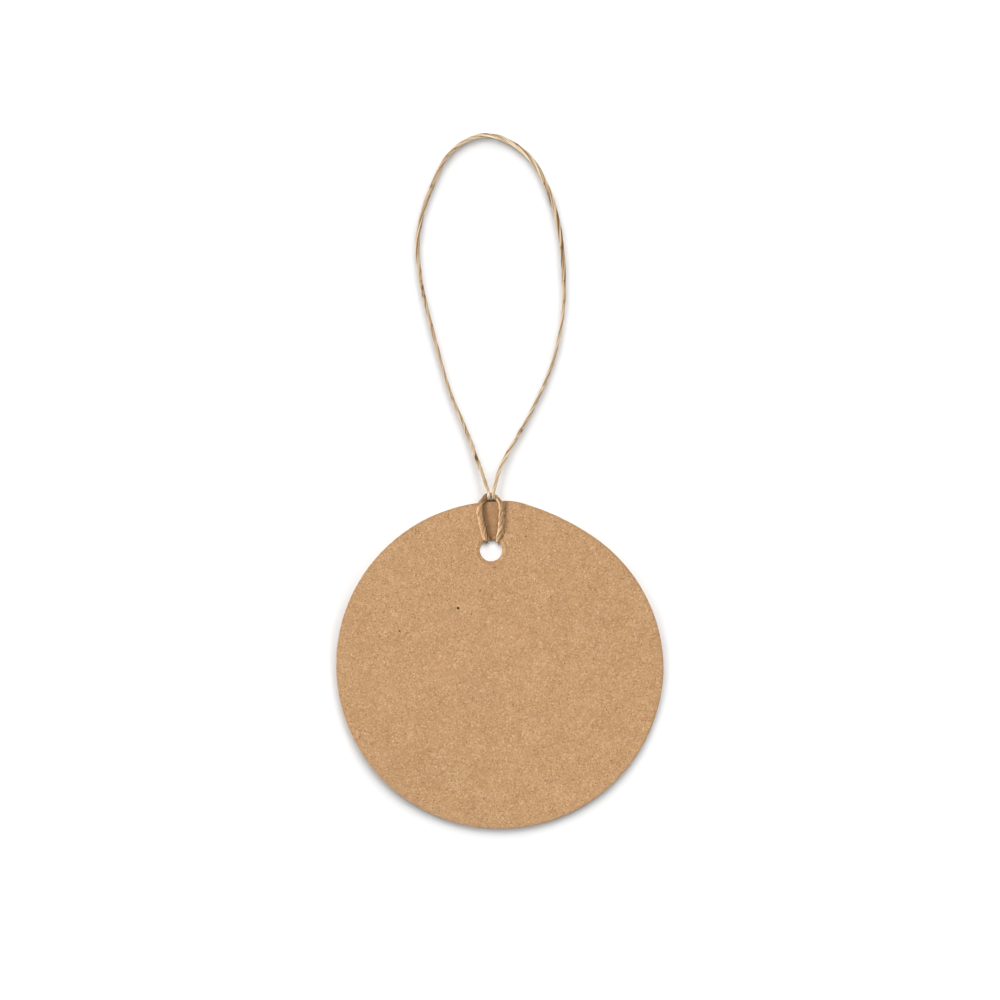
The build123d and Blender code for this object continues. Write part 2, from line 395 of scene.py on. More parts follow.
LEFT_RIM = [("h", -1.06, 9.92, Z_BIGHT + 0.15, 1.05, 0.80), ("h", -1.53, 8.90, 0.60, 1.25, 0.70)]
LEFT_LEG = [("h", -2.14, 8.35, 0.69, 1.55, 0.75), ("h", -1.88, 5.70, 0.69, 1.52, 0.75), ("h", -1.46, 3.40, 0.69, 1.48, 0.75)]
LEFT_HOLE = [("h", -0.78, 1.86, 0.70, 1.4, 0.60), ("h", -0.78, 1.86, -0.40, 1.3, 0.60)]
LEFT_TUCK = [("h", -1.08, 3.10, -0.40, 1.1, 0.9), ("h", -2.25, 5.30, -0.40, 1.0, 0.95), ("h", -3.70, 5.36, -0.44, 0.85, 0.8)]
TAIL_2 = [("h", -6.30, 5.40, -0.44, 0.85, 0.8), ("h", -7.30, 5.40, Z_STR, 1.05, 1.0), ("h", -8.60, 3.90, Z_STR - 0.1, 1.1, 1.0)]

parts_of_route = [("tail_1", TAIL_1), ("core", CORE), ("knot_in", KNOT_IN), ("loop", LOOP),
                  ("right_strand", RIGHT_STRAND), ("right_hole", RIGHT_HOLE), ("right_leg", RIGHT_LEG),
                  ("right_rim", RIGHT_RIM), ("bight", BIGHT), ("left_rim", LEFT_RIM), ("left_leg", LEFT_LEG),
                  ("left_hole", LEFT_HOLE), ("left_tuck", LEFT_TUCK), ("wrap", wrap), ("tail_2", TAIL_2)]
ROUTE, first = [], {}
for key, pts in parts_of_route:
    first[key] = len(ROUTE)
    ROUTE += pts
points = np.array([held(*p[1:4]) if p[0] == "h" else free(*p[1:4]) for p in ROUTE])

RES = 48


def read_spline(pts_mm):
    """Points along the smooth line that has these points as its control points."""
    cu = bpy.data.curves.new("route", "CURVE")
    cu.dimensions = "3D"
    cu.resolution_u = RES
    sp = cu.splines.new("NURBS")
    sp.points.add(len(pts_mm) - 1)
    for k, q in zip(sp.points, pts_mm):
        k.co = (*(q * MM), 1)
    sp.order_u = 3
    sp.use_endpoint_u = True
    sp.resolution_u = RES
    ob = bpy.data.objects.new("route", cu)
    bpy.context.scene.collection.objects.link(ob)
    bpy.context.view_layer.update()
    me = bpy.data.meshes.new_from_object(ob)
    out = np.array([v.co[:] for v in me.vertices]) / MM
    bpy.data.meshes.remove(me)
    bpy.data.objects.remove(ob)
    bpy.data.curves.remove(cu)
    return out


raw = read_spline(points)
n_ctrl = len(points)
t_raw = np.linspace(0, n_ctrl - 2, len(raw))              # in spans of the spline
t_ctrl = np.clip(np.arange(n_ctrl) - 0.5, 0, n_ctrl - 2)  # where each control point pulls most
s_raw = np.concatenate([[0], np.cumsum(np.linalg.norm(np.diff(raw, axis=0), axis=1))])
STEP = 0.1
S = np.arange(0, s_raw[-1], STEP)
P = np.stack([np.interp(S, s_raw, raw[:, i]) for i in range(3)], 1)
T_AT = np.interp(S, s_raw, t_raw)
WIDE = np.interp(T_AT, t_ctrl, [p[4] for p in ROUTE])
THICK = np.interp(T_AT, t_ctrl, [p[5] for p in ROUTE])
PALE = np.interp(T_AT, t_ctrl, [LOOP_TONE[k - first["loop"]] if 0 <= k - first["loop"] < len(LOOP) else 0.0
                                for k in range(n_ctrl)])
N = len(S)

tangent = unit(np.gradient(P, axis=0))
E2 = np.zeros((N, 3))
up = np.array([0.0, SL, -CL])                             # away from the card's back
E2[0] = unit(up - tangent[0] * (up @ tangent[0]))
for i in range(1, N):
    v = E2[i - 1] - tangent[i] * (E2[i - 1] @ tangent[i])
    E2[i] = v / np.linalg.norm(v)
E1 = np.cross(E2, tangent)


def sample_at(span):
    return int(np.argmin(np.abs(T_AT - span)))


# cut places along the route
pull_x, pull_y = card_to_pull(P[:, 0], P[:, 1])
loop_a, loop_b = sample_at(first["loop"] + 4), sample_at(first["right_strand"] - 6)
SEAM_Y = 11.35
i_seam_l = max(i for i in range(sample_at(first["knot_in"] + 1), loop_a) if pull_y[i] <= SEAM_Y)
i_seam_r = min(i for i in range(loop_b, sample_at(first["right_strand"] + 2)) if pull_y[i] <= SEAM_Y)
i_knot_in = sample_at(first["knot_in"] - 0.25)
i_rh = sample_at(first["right_hole"])
i_rr = sample_at(first["right_rim"])
i_lr = sample_at(first["left_rim"])
i_lh = sample_at(first["left_hole"])
i_knot_out = sample_at(first["wrap"] - 0.75)

# drawn tight on the card: both legs, over the rim and round the bight
TIGHT = np.interp(T_AT, t_ctrl, [1.0 if first["right_hole"] <= k < first["left_tuck"] else 0.0 for k in range(n_ctrl)])
LEG, FLAT = np.zeros(N), np.zeros(N)
for i0, i1, most in ((i_rh, i_rr, 0.8), (i_lr, i_lh, 0.3)):
    LEG[i0:i1 + 1] = 1.0
    from_end = np.minimum(np.arange(i1 - i0 + 1), np.arange(i1 - i0 + 1)[::-1])
    FLAT[i0:i1 + 1] = most * step(4, 18, from_end)
# how far the painted highlight on the legs' left edge reaches, and how much the right leg is painted lighter
EDGE_HIGHLIGHT, LEG_LIGHTEN = np.ones(N), np.zeros(N)
EDGE_HIGHLIGHT[i_lr:i_lh + 1] = 1 - 0.65 * step(7.7, 8.5, pull_y[i_lr:i_lh + 1])
LEG_LIGHTEN[i_rh:i_rr + 1] = 1.15 - 0.55 * step(5.0, 7.5, pull_y[i_rh:i_rr + 1])

# painted shade: the strands are painted near-black where the hitch grips them and they dive into the shaded slot at the
# rim
SLOT_SHADE = np.zeros(N)
for i0, i1 in ((i_knot_in, i_seam_l), (i_seam_r, i_rh)):
    SLOT_SHADE[i0:i1] = np.exp(-((pull_y[i0:i1] - 9.02) / 0.34) ** 2)

# a loosely twisted bundle of fibre strands round a core
rng = np.random.default_rng(7)
PITCH = np.interp(T_AT, t_ctrl, [5.5 if p[0] == "h" else 12.0 for p in ROUTE]) * np.exp(0.25 * line_noise(N, 70, rng))
LAY = np.cumsum(2 * np.pi * STEP / PITCH) + 0.6
STRANDS = 14
RING_R, STRAND_R, CORE_R = 0.285, 0.092, 0.262
SIDES, CORE_SIDES = 7, 18
SIZE = 1 + 0.06 * line_noise(N, 80, rng)
TONES = [1.2, 0.6, -0.8, 0.3, -1.6, -0.6, 0.8, 1.1, -0.3, -1.2, 0.2, 0.9, -0.9, 0.5]
strand_data = []
for j in range(STRANDS):
    ring = RING_R * SIZE * (1 + 0.11 * line_noise(N, 24, rng))
    rad = STRAND_R * SIZE * np.clip(1 + 0.20 * line_noise(N, 30, rng), 0.55, 1.5)
    ang = 2 * np.pi * j / STRANDS + 0.20 * line_noise(N, 45, rng)
    tone = TONES[j] + 0.7 * line_noise(N, 60, rng) + PALE
    strand_data.append((ring, rad, ang, tone))


def mark(x, y, strands, tone, reach):
    """A darker spot of bark, or a paler one, on some strands near one place."""
    i = int(np.argmin(np.hypot(pull_x - x, pull_y - y)))
    for j in strands:
        strand_data[j][3][:] += tone * np.exp(-((S - S[i]) / reach) ** 2)


mark(5.53, 21.85, range(STRANDS), -3.4, 0.30)
mark(-0.40, 10.20, range(STRANDS), 1.3, 1.2)
mark(0.45, 10.20, range(STRANDS), 1.3, 1.2)
mark(11.35, 64.2, (2, 3, 4, 5, 6, 9), -4.0, 0.40)
mark(-12.6, 48.0, (5, 6, 7, 12), -3.0, 0.6)
mark(5.8, 74.2, range(STRANDS), -0.5, 2.6)                 # paler and darker stretches of the loop's right side
mark(9.6, 68.2, range(STRANDS), 0.7, 3.0)
mark(11.9, 61.5, range(STRANDS), -1.1, 3.6)
mark(13.2, 52.4, range(STRANDS), -0.5, 2.2)
mark(12.9, 40.5, range(STRANDS), 0.6, 5.0)
bark = np.random.default_rng(33)
for _ in range(50):
    i, j = int(bark.integers(i_seam_l, i_seam_r)), int(bark.integers(STRANDS))
    deep, reach = bark.uniform(0.8, 2.4), bark.uniform(0.16, 0.42)
    for k in range(int(bark.integers(3, 6))):
        strand_data[(j + k) % STRANDS][3][:] -= deep * np.exp(-((S - S[i]) / reach) ** 2)


def strand_rings(idx, j):
    """Ring points, painted shade between the strands, fibre coordinates and tone of one strand, or of the core."""
    if j < 0:
        k, ring, rad = CORE_SIDES, np.zeros(len(idx)), CORE_R * SIZE[idx]
        ang, tone = LAY[idx], np.full(len(idx), -1.8)
    else:
        ring, rad, ang, tone = (q[idx] for q in strand_data[j])
        k, ang = SIDES, ang + LAY[idx]
    phi = 2 * np.pi * np.arange(k) / k + 0.3 * j
    turn = phi[None, :] + LAY[idx][:, None]
    u = (ring * np.cos(ang))[:, None] + rad[:, None] * np.cos(turn)
    v = (ring * np.sin(ang))[:, None] + rad[:, None] * np.sin(turn)
    flat = FLAT[idx][:, None]                              # a leg is pressed flat, more at its middle
    v = (1 - flat) * v + flat * np.sign(v) * 0.377 * (np.abs(v) / 0.377) ** 0.5
    u, v = u * WIDE[idx][:, None], v * THICK[idx][:, None]
    pts = P[idx][:, None, :] + u[..., None] * E1[idx][:, None, :] + v[..., None] * E2[idx][:, None, :]
    facing = np.cos(turn - ang[:, None])                   # 1 outwards, -1 towards the core
    # painted shade between the strands: full on the core, fading out towards the sides that face outwards
    groove = np.full(turn.shape, 1.0) if j < 0 else 1 - step(-0.35, 0.75, facing)
    # painted highlight on the legs: the raised left edge, which faces the key light, is painted pale; the right leg's
    # lower part and the flattened middles are painted lighter, the rest of each leg darker
    out = unit(u[..., None] * E1[idx][:, None, :] + v[..., None] * E2[idx][:, None, :])
    left = out @ np.array([-CP, SP, 0.0])
    tone = tone[:, None] * (1 - 0.5 * LEG[idx])[:, None] + LEG[idx][:, None] * (
        2.3 * EDGE_HIGHLIGHT[idx][:, None] * step(0.45, 0.95, left) - 0.45 + LEG_LIGHTEN[idx][:, None] + 0.9 * FLAT[idx][:, None])
    fib = np.stack([np.broadcast_to(S[idx][:, None] + 310 * (j + 2), turn.shape),
                    np.broadcast_to(rad[:, None] * np.cos(phi), turn.shape),
                    np.broadcast_to(rad[:, None] * np.sin(phi), turn.shape)], -1)
    # painted shade only on the strand's side that faces up, away from the card's back
    pinch = SLOT_SHADE[idx][:, None] * step(-0.3, 0.4, out @ np.array([0.0, -SL, CL]))
    return pts, groove, fib, tone, np.broadcast_to(pinch, turn.shape), \
        np.broadcast_to(TIGHT[idx][:, None], turn.shape)


class Twist:
    """Collects closed tubes into one mesh."""

    def __init__(self):
        self.v, self.f, self.groove, self.fibre, self.tone, self.pinch, self.tight, self.n = [], [], [], [], [], [], [], 0

    def rings(self, pts, groove, fib, tone, pinch, tight):
        m, k = pts.shape[:2]
        base = self.n
        self.v.append(pts.reshape(-1, 3))
        self.groove.append(groove.reshape(-1))
        self.fibre.append(fib.reshape(-1, 3))
        self.tone.append(tone.reshape(-1))
        self.pinch.append(pinch.reshape(-1))
        self.tight.append(tight.reshape(-1))
        self.n += m * k
        a = base + np.arange(m - 1)[:, None] * k + np.arange(k)[None, :]
        b = base + np.arange(m - 1)[:, None] * k + (np.arange(k)[None, :] + 1) % k
        self.f += np.stack([a, b, b + k, a + k], -1).reshape(-1, 4).tolist()
        self.f.append(list(range(base + k - 1, base - 1, -1)))
        self.f.append(list(range(base + (m - 1) * k, base + m * k)))

    def twine(self, i0, i1, long=False):
        idx = np.arange(i0, i1 + 1)
        if long:                                           # rings stand closer where the loop bends at the hitch
            idx = idx[(pull_y[idx] < 17) | ((idx - i0) % 2 == 0) | (idx == i1)]
        for j in range(-1, STRANDS):
            self.rings(*strand_rings(idx, j))

    def hair(self, start, direction, bend, length, radius, fib0, tone, tight=0.0):
        """One loose fibre: a thin tapering tube that bends one way."""
        m, k = 7, 4
        t = np.linspace(0, 1, m)[:, None]
        line = start + direction * length * t + bend * length * t * t
        tan = unit(np.gradient(line, axis=0))
        side = unit(np.cross(tan, np.array([0.31, 0.52, 0.79])))
        other = np.cross(tan, side)
        ang = 2 * np.pi * np.arange(k) / k
        rad = radius * (1 - 0.75 * t[:, 0])
        pts = line[:, None, :] + rad[:, None, None] * (
            np.cos(ang)[None, :, None] * side[:, None, :] + np.sin(ang)[None, :, None] * other[:, None, :])
        fib = np.broadcast_to(fib0, (m, k, 3)).copy()
        fib[..., 0] += (t * length)
        self.rings(pts, np.zeros((m, k)), fib, np.full((m, k), tone), np.zeros((m, k)), np.full((m, k), tight))

    def object(self, name):
        return mesh_object(name, np.concatenate(self.v), self.f, TWINE,
                           {"groove": np.concatenate(self.groove), "tone": np.concatenate(self.tone),
                            "pinch": np.concatenate(self.pinch), "tight": np.concatenate(self.tight)},
                           {"fibre": np.concatenate(self.fibre)})


def loose_fibres(tw, i0, i1, per_mm, rng, floor=None, reach=(0.5, 1.6)):
    for _ in range(int((i1 - i0) * STEP * per_mm)):
        i = int(rng.integers(i0 + 5, max(i0 + 6, i1 - 25)))
        a = rng.uniform(0, 2 * np.pi)
        out = np.cos(a) * E1[i] + np.sin(a) * E2[i]
        along = tangent[i] * rng.choice([-1, 1])
        length = rng.uniform(*reach) * rng.uniform(0.6, 1.0)
        start = P[i] + 0.30 * (np.cos(a) * WIDE[i] * E1[i] + np.sin(a) * THICK[i] * E2[i])
        direction = unit(along * rng.uniform(0.7, 1.2) + out * rng.uniform(0.15, 0.75))
        bend = unit(rng.standard_normal(3)) * rng.uniform(0.1, 0.5)
        tip = start + direction * length + bend * length
        if floor is not None and min(tip[2], (start + direction * length * 0.5)[2]) < floor:
            continue
        tw.hair(start, direction, bend, length, rng.uniform(0.012, 0.022),
                np.array([S[i] + 40.0, 0.1 * np.cos(a), 0.1 * np.sin(a)]), rng.uniform(0.2, 1.6), TIGHT[i])


# ------------------------------------------------------------------ twine pieces
hairs = np.random.default_rng(21)


def twine_piece(name, i0, i1, per_mm=0.25, floor=None, reach=(0.5, 1.6), slant=0, long=False):
    tw = Twist()
    tw.twine(i0, i1, long)
    loose_fibres(tw, i0, i1, per_mm, hairs, floor, reach)
    for n in range(slant):                                 # fibres that lie across the top of a leg
        i = i0 + 12 + int((i1 - i0 - 26) * (n + hairs.uniform(0, 1)) / slant)
        across = np.array([CP, -SP, 0.0])
        along = tangent[i] * np.sign(tangent[i][1])
        top = np.array([0.0, -SL, CL])
        q = hairs.uniform(-0.34, 0.34)
        start = P[i] + across * q * WIDE[i] + top * 0.36 * THICK[i] * math.sqrt(1 - (q / 0.45) ** 2)
        tw.hair(start, unit(across * hairs.uniform(-0.5, 1.1) + along + top * 0.10), -top * 0.14, hairs.uniform(0.3, 0.8),
                hairs.uniform(0.026, 0.056), np.array([S[i] + 40.0, 0.1, 0.1]), hairs.uniform(-2.4, 3.6), 1.0)
    o = tw.object(name)
    return o


right_leg = twine_piece("right_leg_twine", i_rh, i_rr, 0.8, None, (0.2, 0.6), 110)
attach(right_leg, "tag")
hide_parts("twine_right_leg")
bight = twine_piece("bight_twine", i_rr, i_lr, 0.4, 0.05)
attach(bight, "tag")
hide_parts("twine_bight")
left_leg = twine_piece("left_leg_twine", i_lr, i_lh, 0.8, None, (0.2, 0.6), 70)
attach(left_leg, "tag")
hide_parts("twine_left_leg")
left_tuck = twine_piece("left_tuck_twine", i_lh, i_knot_out, 0.2, 0.05)
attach(left_tuck, "tag")
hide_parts("twine_left_tuck")

left_strand = twine_piece("left_strand_twine", i_knot_in, i_seam_l, 0.2, 0.05)
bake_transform(left_strand)
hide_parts("twine_left_strand")
right_strand = twine_piece("right_strand_twine", i_seam_r, i_rh, 0.2, 0.05)
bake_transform(right_strand)
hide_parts("twine_right_strand")

loop = twine_piece("loop_twine", i_seam_l, i_seam_r, 0.35, 0.03, (0.4, 1.2), long=True)
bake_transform(loop)
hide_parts("loop_throat", "hanging_loop")

knot = Twist()
knot.twine(6, i_knot_in)
knot.twine(i_knot_out, N - 7)
frays = np.random.default_rng(5)
for i, sign in ((6, -1), (N - 7, 1)):
    for _ in range(26):
        a, q = frays.uniform(0, 2 * np.pi), frays.uniform(0.05, 0.34)
        off = q * (np.cos(a) * E1[i] * WIDE[i] + np.sin(a) * E2[i] * THICK[i])
        direction = unit(sign * tangent[i] + off * frays.uniform(0.3, 1.3))
        bend = unit(frays.standard_normal(3)) * frays.uniform(0.05, 0.35)
        length = frays.uniform(0.5, 1.5)
        start = P[i] + off - sign * tangent[i] * 0.25
        tip = start + (direction + bend) * length
        if tip[2] < 0.05 or tip[2] > (tip[1] + R_CARD) * SL - 0.03:
            continue
        knot.hair(start, direction, bend, length, frays.uniform(0.022, 0.042),
                  np.array([S[i] + 40.0, 0.2 * np.cos(a), 0.2 * np.sin(a)]), frays.uniform(-0.5, 1.5))
knot_o = knot.object("closing_knot_twine")
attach(knot_o, "tag")
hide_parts("closing_knot", "twine_tails")

# ------------------------------------------------------------------ card
rng = np.random.default_rng(11)
N_OUT, N_IN = 640, 104
SOFT = 0.12                                               # how far the cut edge is rounded
ang_o = 2 * np.pi * np.arange(N_OUT) / N_OUT
ang_i = 2 * np.pi * np.arange(N_IN) / N_IN
ring_o = np.stack([(R_CARD - SOFT) * np.cos(ang_o), (R_CARD - SOFT) * np.sin(ang_o)], 1)
ring_i = np.stack([(R_HOLE + SOFT) * np.cos(ang_i), HOLE_OFFSET + (R_HOLE + SOFT) * np.sin(ang_i)], 1)


def hex_points(x0, x1, y0, y1, d):
    rows = np.arange(y0, y1, d * 0.8660254)
    out = []
    for j, yy in enumerate(rows):
        xs = np.arange(x0 + (d / 2 if j % 2 else 0), x1, d)
        out.append(np.stack([xs, np.full_like(xs, yy)], 1))
    return np.concatenate(out)


def in_hitch(p):
    x, y = card_to_pull(p[:, 0], p[:, 1])
    return (np.abs(x) < 4.4) & (y > -4.2) & (y < 10.0)


coarse = hex_points(-R_CARD, R_CARD, -R_CARD, R_CARD, 0.52)
coarse = coarse[~in_hitch(coarse)]
fine = hex_points(-8, 8, 14, 31, 0.19)
fine = fine[in_hitch(fine)]
inner = np.concatenate([coarse, fine])
rho = np.hypot(inner[:, 0], inner[:, 1])
rho_h = np.hypot(inner[:, 0], inner[:, 1] - HOLE_OFFSET)
inner = inner[(rho < R_CARD - SOFT - 0.16) & (rho_h > R_HOLE + SOFT + 0.10)]
flat = np.concatenate([ring_o, ring_i, inner])
edges = [(i, (i + 1) % N_OUT) for i in range(N_OUT)] + [(N_OUT + i, N_OUT + (i + 1) % N_IN) for i in range(N_IN)]
res = delaunay_2d_cdt([Vector(p) for p in flat], edges, [], 1, 1e-6)
assert len(res[0]) == len(flat), (len(res[0]), len(flat))
order = [o[0] for o in res[3]]                            # which input point each output point is
tris = np.array([[order[k] for k in f] for f in res[2]])
mid = flat[tris].mean(1)
tris = tris[(np.hypot(mid[:, 0], mid[:, 1] - HOLE_OFFSET) > R_HOLE + SOFT * 0.9) & (np.hypot(mid[:, 0], mid[:, 1]) < R_CARD - SOFT * 0.9)]
a, b, c = flat[tris[:, 0]], flat[tris[:, 1]], flat[tris[:, 2]]
cross = (b[:, 0] - a[:, 0]) * (c[:, 1] - a[:, 1]) - (b[:, 1] - a[:, 1]) * (c[:, 0] - a[:, 0])
tris[cross < 0] = tris[cross < 0][:, ::-1]
n_flat = len(flat)

# where the legs lie on the face and the strands on the back, as lines on the card
leg_lines, back_lines = [], []
for i0, i1, store in ((i_rh, i_rr, leg_lines), (i_lr, i_lh, leg_lines), (i_knot_in, i_seam_l, back_lines),
                      (i_seam_r, i_rh, back_lines), (i_lh, i_knot_out, back_lines)):
    q = P[i0:i1 + 1]
    y_card = q[:, 1] * CL + q[:, 2] * SL - R_CARD * SL * SL
    store.append(np.stack([q[:, 0], y_card], 1))
leg_lines, back_lines = np.concatenate(leg_lines), np.concatenate(back_lines)


def nearest(p, line):
    out = np.full(len(p), 99.0)
    near = in_hitch(p)
    if near.any():
        d = np.linalg.norm(p[near][:, None, :] - line[None, ::2, :], axis=2)
        out[near] = d.min(1)
    return out


def strip_mask(p):
    """1 on the strip between the two legs, from the hole to the rim."""
    x, y = card_to_pull(p[:, 0], p[:, 1])
    left = np.interp(y, [1.5, 3.4, 5.7, 8.0, 9.3], [-0.85, -1.42, -1.82, -2.02, -1.70])
    right = np.interp(y, [1.4, 3.3, 5.7, 8.15, 9.5], [1.22, 1.72, 1.92, 1.88, 1.66])
    return step(-0.3, 0.5, x - left) * step(-0.3, 0.5, right - x) * step(1.2, 2.6, y)


def warp(p):
    """The board is slightly cupped and curls up low on both sides, as it takes up in use; it stays flat at the hitch."""
    x, y = p[:, 0], p[:, 1]
    u = np.clip((18 - y) / 48, 0, 1)
    bend = 0.22 * u ** 3 - 2.9 * u ** 2 * (1 - u)
    sides = (x / 30) ** 2 * np.exp(-((y - 1) / 13) ** 2) * (-0.13 + 0.10 * np.clip(x / 10, -1, 1))
    theta = np.degrees(np.arctan2(y, x))
    curl = 0.52 * np.exp(-((theta + 142) / 26) ** 2) + 0.30 * np.exp(-((theta + 47) / 24) ** 2)
    return bend + sides + curl * (np.hypot(x, y) / 30) ** 3


def face_height(p):
    d = nearest(p, leg_lines)
    rho_h = np.hypot(p[:, 0], p[:, 1] - HOLE_OFFSET)
    z = -0.17 * np.exp(-(d / 0.85) ** 2) - 0.04 * strip_mask(p)
    z = z + 0.12 * np.exp(-((rho_h - 2.66) / 0.20) ** 2) - 0.030 * np.exp(-((rho_h - 2.33) / 0.13) ** 2)
    return z


def back_height(p):
    d = nearest(p, back_lines)
    rho_h = np.hypot(p[:, 0], p[:, 1] - HOLE_OFFSET)
    return 0.05 * np.exp(-(d / 0.42) ** 2) - 0.02 * np.exp(-((rho_h - 2.30) / 0.14) ** 2)


turn_at = np.arange(-40.0, 130.0, 0.5)                    # degrees round from the right of the loop's pull
flat_cut = np.interp(turn_at, [-4, 12, 30, 42, 54, 60, 66, 72, 78, 83, 87, 91],
                     [0, 0.22, 0.51, 0.72, 0.91, 0.95, 0.84, 0.66, 0.31, -0.05, -0.24, 0])
soften = np.exp(-(np.arange(-16, 17) / 5.0) ** 2)
flat_cut = np.convolve(flat_cut, soften / soften.sum(), "same")


def trimmed(p):
    """The rim isn't cut quite round: flatter at the upper right, a little full beside the hitch."""
    turn = np.degrees(np.arctan2(p[:, 1], p[:, 0])) + PULL_DEG
    return np.interp(turn, turn_at, flat_cut, 0.0, 0.0) * step(22.0, 29.8, np.hypot(p[:, 0], p[:, 1]))


def bitten(p):
    """Moves the rim and the hole's edge a little where the twine bites them."""
    d = nearest(p, leg_lines)
    rho = np.hypot(p[:, 0], p[:, 1])
    to_hole = p - np.array([0, HOLE_OFFSET])
    rho_h = np.hypot(to_hole[:, 0], to_hole[:, 1])
    w_rim = 0.13 * np.exp(-(d / 0.50) ** 2) * step(28.6, 29.9, rho)
    w_hole = 0.30 * np.exp(-(d / 0.46) ** 2) * (1 - step(2.1, 3.0, rho_h)) * (p[:, 1] > HOLE_OFFSET)
    q = p - p / rho[:, None] * (w_rim + trimmed(p))[:, None]
    return q + to_hole / rho_h[:, None] * w_hole[:, None]


# rounded cut edge, from the face down to the back: inward distance left and height
profile = [(0.050, -0.010), (0.088, -0.038), (0.110, -0.082), (0.120, -0.150), (0.118, -0.250), (0.120, -0.360),
           (0.116, -0.430), (0.100, -0.472), (0.060, -0.494)]
rough_o = sheet_noise(N_OUT, len(profile), 2.2, 0.8, rng) * 0.010 + line_noise(N_OUT, 12, rng)[:, None] * 0.010
rough_i = sheet_noise(N_IN, len(profile), 1.5, 0.8, rng) * 0.008

verts2, heights, edge_w = [flat], [np.full(n_flat, 0.0)], [np.zeros(n_flat)]
verts2.append(flat)
heights.append(np.full(n_flat, -CARD_T))
edge_w.append(np.zeros(n_flat))
rim_rows = []
base = 2 * n_flat
for j, (grow, drop) in enumerate(profile):
    g = np.minimum(grow + rough_o[:, j] * min(1, j / 2), SOFT)
    verts2.append(ring_o * ((R_CARD - SOFT + g) / (R_CARD - SOFT))[:, None])
    g = np.minimum(grow + rough_i[:, j] * min(1, j / 2), SOFT + 0.01)
    hole = ring_i - np.array([0, HOLE_OFFSET])
    verts2.append(hole * ((R_HOLE + SOFT - g) / (R_HOLE + SOFT))[:, None] + np.array([0, HOLE_OFFSET]))
    heights.append(np.full(N_OUT + N_IN, drop))
    edge_w.append(np.full(N_OUT + N_IN, step(0.01, 0.11, -drop)))
    rim_rows.append(base)
    base += N_OUT + N_IN
flat_all = np.concatenate(verts2)
drop_all = np.concatenate(heights)
edge_all = np.concatenate(edge_w)
edge_all[:N_OUT] = 0.35                                  # the face is a little darker along its rim

share = -drop_all / CARD_T                                # 0 on the face, 1 on the back
moved = bitten(flat_all)
z = CARD_T + drop_all + (1 - share) * face_height(flat_all) + share * back_height(flat_all) + warp(flat_all)
card_v = np.stack(card_to_part(moved[:, 0], moved[:, 1], z), 1)

faces = tris.tolist() + (tris[:, ::-1] + n_flat).tolist()
rows_o = [np.arange(N_OUT)] + [r + np.arange(N_OUT) for r in rim_rows] + [n_flat + np.arange(N_OUT)]
rows_i = [N_OUT + np.arange(N_IN)] + [r + N_OUT + np.arange(N_IN) for r in rim_rows] + [n_flat + N_OUT + np.arange(N_IN)]
for upper, lower in zip(rows_o, rows_o[1:]):
    faces += np.stack([upper, lower, np.roll(lower, -1), np.roll(upper, -1)], 1).tolist()
for upper, lower in zip(rows_i, rows_i[1:]):
    faces += np.stack([upper, np.roll(upper, -1), np.roll(lower, -1), lower], 1).tolist()

d_leg = nearest(flat_all, leg_lines)
on_face = 1 - step(0.05, 0.4, share)
x_pull, y_pull = card_to_pull(flat_all[:, 0], flat_all[:, 1])
# painted shadow on the card to the right of the right leg
painted_leg_shadow = np.exp(-((x_pull - 2.75) / 0.45) ** 2) * step(2.6, 3.8, y_pull) * in_hitch(flat_all)
# pressed strip, partly painted shade, with painted shade along both legs
press_and_shade = np.clip(strip_mask(flat_all) + 0.6 * np.exp(-(d_leg / 0.7) ** 2) + 0.55 * painted_leg_shadow, 0, 1) * on_face
card = mesh_object("card_board", card_v, faces, KRAFT, {"edge": edge_all, "press_and_shade": press_and_shade})
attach(card, "tag")
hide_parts("tag_card")

# ------------------------------------------------------------------ floor, light and camera
fm = Nodes("pale_floor")
fm.bsdf.inputs["Base Color"].default_value = (0.90, 0.90, 0.90, 1)
fm.bsdf.inputs["Roughness"].default_value = 0.95
fm.bsdf.inputs["Specular IOR Level"].default_value = 0.0
floor_me = bpy.data.meshes.new("floor")
floor_me.from_pydata([(-6, -6, 0), (6, -6, 0), (6, 6, 0), (-6, 6, 0)], [], [(0, 1, 2, 3)])
floor_me.materials.append(fm.mat)
floor = bpy.data.objects.new("floor", floor_me)
bpy.context.scene.collection.objects.link(floor)

# a plain pale wall far behind, all round, that lights nothing
WALL_R, WALL_H, WALL_N = 5.5, 3.0, 96
wm = bpy.data.materials.new("pale_wall")
wm.use_nodes = True
wm.node_tree.nodes.clear()
glow = wm.node_tree.nodes.new("ShaderNodeEmission")
glow.inputs["Color"].default_value = (1, 1, 1, 1)
glow.inputs["Strength"].default_value = 1.0
wm.node_tree.links.new(glow.outputs[0], wm.node_tree.nodes.new("ShaderNodeOutputMaterial").inputs["Surface"])
around = [2 * math.pi * k / WALL_N for k in range(WALL_N)]
wall_me = bpy.data.meshes.new("wall")
wall_me.from_pydata([(WALL_R * math.cos(a), WALL_R * math.sin(a), z) for z in (-0.01, WALL_H) for a in around], [],
                    [(k, k + WALL_N, (k + 1) % WALL_N + WALL_N, (k + 1) % WALL_N) for k in range(WALL_N)])
wall_me.materials.append(wm)
wall = bpy.data.objects.new("wall", wall_me)
bpy.context.scene.collection.objects.link(wall)
wall.visible_diffuse = wall.visible_glossy = wall.visible_transmission = wall.visible_shadow = False

world = bpy.data.worlds.new("studio")
world.use_nodes = True
bg = world.node_tree.nodes["Background"]
bg.inputs["Color"].default_value = (1, 1, 1, 1)
bg.inputs["Strength"].default_value = 0.12
bpy.context.scene.world = world


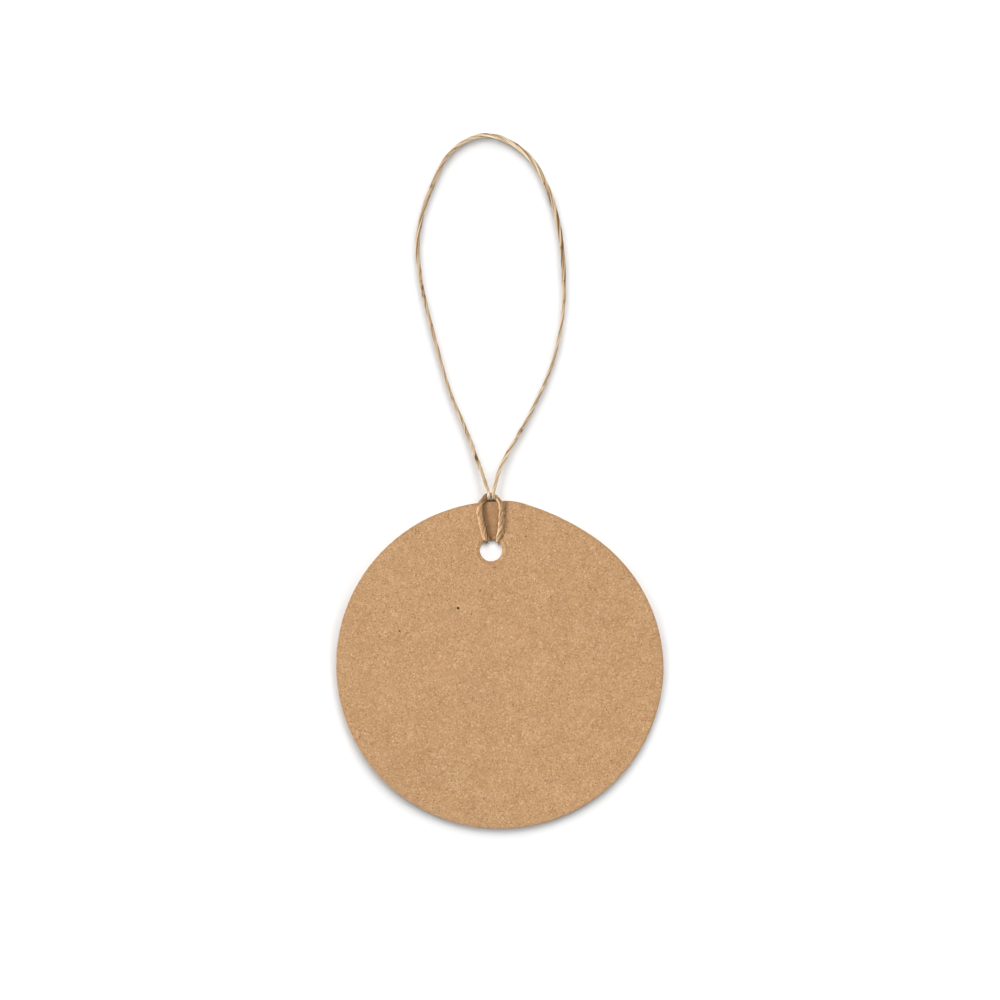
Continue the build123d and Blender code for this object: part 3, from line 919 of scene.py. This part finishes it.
def sun(name, toward_left, toward_top, elevation, share, angle, albedo=1.0):
    """Soft directional light from one side of the picture; share is what it gives a flat surface."""
    e = math.radians(elevation)
    k = math.cos(e) / math.hypot(toward_left, toward_top)
    left, high = toward_left * k, toward_top * k
    la = bpy.data.lights.new(name, "SUN")
    la.energy = share * math.pi / math.sin(e) / albedo
    la.angle = math.radians(angle)
    o = bpy.data.objects.new(name, la)
    x, y = -left * CP + high * SP, left * SP + high * CP
    o.rotation_mode = "QUATERNION"
    o.rotation_quaternion = Vector((x, y, math.sin(e))).to_track_quat("Z", "Y")
    o.location = (x, y, math.sin(e))
    bpy.context.scene.collection.objects.link(o)
    return o


def shines_on(light, name, objects):
    c = bpy.data.collections.new(name)
    for o in objects:
        c.objects.link(o)
    light.light_linking.receiver_collection = c


pieces = (card, right_leg, left_leg, bight, left_tuck, left_strand, right_strand, loop, knot_o)
for k, side in enumerate((-0.65, 0.0, 0.65)):
    shines_on(sun("floor_top_%d" % k, side, 1.0, 24.5, 0.192, 36, 0.9), "lit_floor_%d" % k, [floor])
for k, side in enumerate((-1.0, 1.0)):
    shines_on(sun("floor_side_%d" % k, side, 0.15, 37, 0.138, 40, 0.9), "lit_floor_side_%d" % k, [floor])
shines_on(sun("floor_over", 0.0, 1.0, 66, 0.11, 50, 0.9), "lit_floor_over", [floor])
shines_on(sun("key_left", 1.0, -0.55, 31, 0.385, 15), "lit_pieces_a", pieces)
shines_on(sun("fill_over", 0.3, 1.0, 72, 0.505, 100), "lit_pieces_b", pieces)
shines_on(sun("fill_low", -1.0, -0.9, 35, 0.18, 60), "lit_twine", [loop, left_strand, right_strand])

# a small soft lamp that lights the table through the punched hole
lamp = bpy.data.lights.new("hole_lamp", "AREA")
lamp.shape, lamp.size = "DISK", 2.6 * MM
lamp.energy = 4.6e-4
lamp_o = bpy.data.objects.new("hole_lamp", lamp)
aim = Vector(np.array(held(0.0, -0.2, -1.4)) * MM)
away = Vector((0.66 * SP, 0.66 * CP, 1.0)).normalized()
lamp_o.location = aim + away * 7.0 * MM
lamp_o.rotation_mode = "QUATERNION"
lamp_o.rotation_quaternion = away.to_track_quat("Z", "Y")
lamp_o.visible_camera = False
bpy.context.scene.collection.objects.link(lamp_o)
shines_on(lamp_o, "lit_floor_hole", [floor])

cam = bpy.data.cameras.new("camera")
cam.lens, cam.sensor_width = 85, 36
camera = bpy.data.objects.new("camera", cam)
camera.location = (2.349 * MM, 30.161 * MM, (85 / 36 * 183.15 + 1.0) * MM)
camera.rotation_euler = (0, 0, -math.radians(PULL_DEG))
bpy.context.scene.collection.objects.link(camera)
bpy.context.scene.camera = camera
bpy.context.scene.view_settings.view_transform = "Standard"
